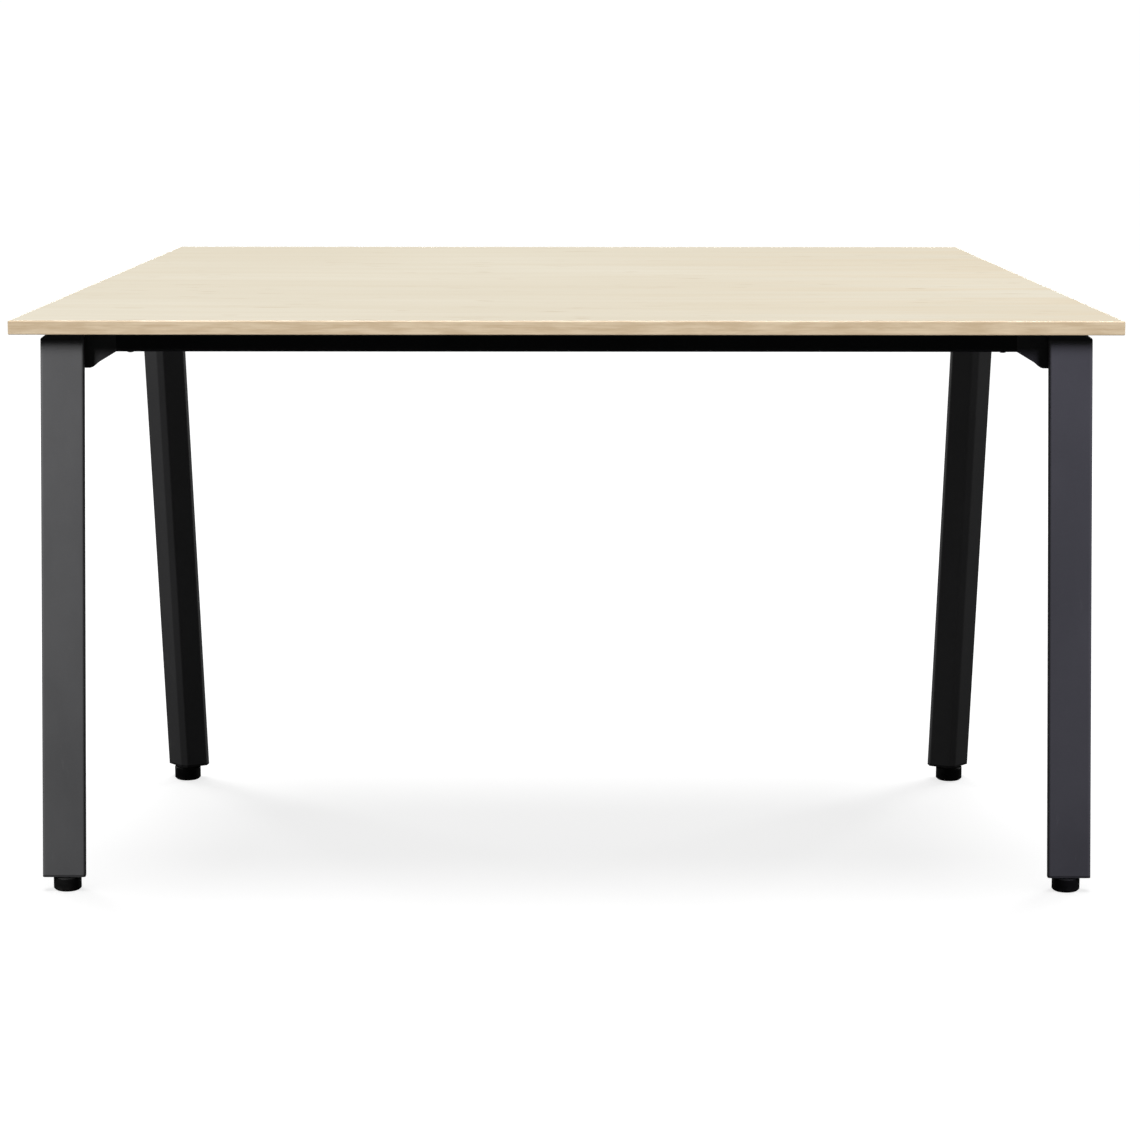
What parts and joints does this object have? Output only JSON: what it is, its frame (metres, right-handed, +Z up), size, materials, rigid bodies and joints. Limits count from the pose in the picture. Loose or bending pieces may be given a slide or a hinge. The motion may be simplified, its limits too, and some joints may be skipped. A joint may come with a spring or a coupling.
{
  "type": "trapezoid table",
  "caption": "Trapezoid table with a wood-look laminate top, a grey steel frame with upright front legs and raked rear legs, and round levelling feet.",
  "frame": {"origin": "on the floor, under the middle of the top's bounding box", "axes": "+X to the right along the wide front edge, +Y from the wide front edge to the narrow rear edge, +Z up"},
  "size_m": [1.4, 0.61, 0.75],
  "materials": {
    "top_laminate": "satin light maple laminate",
    "edge_band": "satin edging",
    "frame_paint": "fine-textured matt powder coat",
    "black_paint": "matt black powder coat",
    "cast_paint": "dark grey powder coat over a cast skin",
    "plug_plastic": "matt",
    "foot_plastic": "satin",
    "zinc_steel": "zinc plated",
    "black_steel": "blackened"
  },
  "bodies": {
    "table": {"top_panel": "top_laminate", "edge_band_front": "edge_band", "edge_band_rear": "edge_band", "edge_band_left": "edge_band", "edge_band_right": "edge_band", "front_rail": "black_paint", "rear_rail": "black_paint", "side_rail_left": "black_paint", "side_rail_right": "black_paint", "leg_front_left": "frame_paint", "corner_bracket_front_left": "cast_paint", "leg_plug_front_left": "plug_plastic", "foot_bush_front_left": "zinc_steel", "leg_front_right": "frame_paint", "corner_bracket_front_right": "cast_paint", "leg_plug_front_right": "plug_plastic", "foot_bush_front_right": "zinc_steel", "leg_rear_left": "frame_paint", "corner_bracket_rear_left": "cast_paint", "leg_plug_rear_left": "plug_plastic", "foot_bush_rear_left": "zinc_steel", "leg_rear_right": "frame_paint", "corner_bracket_rear_right": "cast_paint", "leg_plug_rear_right": "plug_plastic", "foot_bush_rear_right": "zinc_steel", "top_screws": "zinc_steel", "rail_screws": "black_steel"},
    "pad_front_left": {"foot_pad_front_left": "foot_plastic"},
    "stem_front_left": {"foot_stem_front_left": "zinc_steel"},
    "pad_front_right": {"foot_pad_front_right": "foot_plastic"},
    "stem_front_right": {"foot_stem_front_right": "zinc_steel"},
    "pad_rear_left": {"foot_pad_rear_left": "foot_plastic"},
    "stem_rear_left": {"foot_stem_rear_left": "zinc_steel"},
    "pad_rear_right": {"foot_pad_rear_right": "foot_plastic"},
    "stem_rear_right": {"foot_stem_rear_right": "zinc_steel"}
  },
  "joints": [
    {"name": "foot_lower_front_left", "type": "slide", "parent": "table", "child": "pad_front_left", "axis": [0, 0, -1], "range_m": [0, 0.012]},
    {"name": "stem_turn_front_left", "type": "hinge", "parent": "pad_front_left", "child": "stem_front_left", "pos_m": [-0.645, -0.268, 0.03], "axis": [0, 0, -1], "range_deg": [0, 2880]},
    {"name": "foot_lower_front_right", "type": "slide", "parent": "table", "child": "pad_front_right", "axis": [0, 0, -1], "range_m": [0, 0.012]},
    {"name": "stem_turn_front_right", "type": "hinge", "parent": "pad_front_right", "child": "stem_front_right", "pos_m": [0.645, -0.268, 0.03], "axis": [0, 0, -1], "range_deg": [0, 2880]},
    {"name": "foot_lower_rear_left", "type": "slide", "parent": "table", "child": "pad_rear_left", "axis": [0, 0, -1], "range_m": [0, 0.012]},
    {"name": "stem_turn_rear_left", "type": "hinge", "parent": "pad_rear_left", "child": "stem_rear_left", "pos_m": [-0.534, 0.284, 0.03], "axis": [0, 0, -1], "range_deg": [0, 2880]},
    {"name": "foot_lower_rear_right", "type": "slide", "parent": "table", "child": "pad_rear_right", "axis": [0, 0, -1], "range_m": [0, 0.012]},
    {"name": "stem_turn_rear_right", "type": "hinge", "parent": "pad_rear_right", "child": "stem_rear_right", "pos_m": [0.534, 0.284, 0.03], "axis": [0, 0, -1], "range_deg": [0, 2880]}
  ],
  "couplings": [
    {"joint": "stem_turn_front_left", "follows": "foot_lower_front_left", "rad_per_m": 4188.8},
    {"joint": "stem_turn_front_right", "follows": "foot_lower_front_right", "rad_per_m": 4188.8},
    {"joint": "stem_turn_rear_left", "follows": "foot_lower_rear_left", "rad_per_m": 4188.8},
    {"joint": "stem_turn_rear_right", "follows": "foot_lower_rear_right", "rad_per_m": 4188.8}
  ]
}
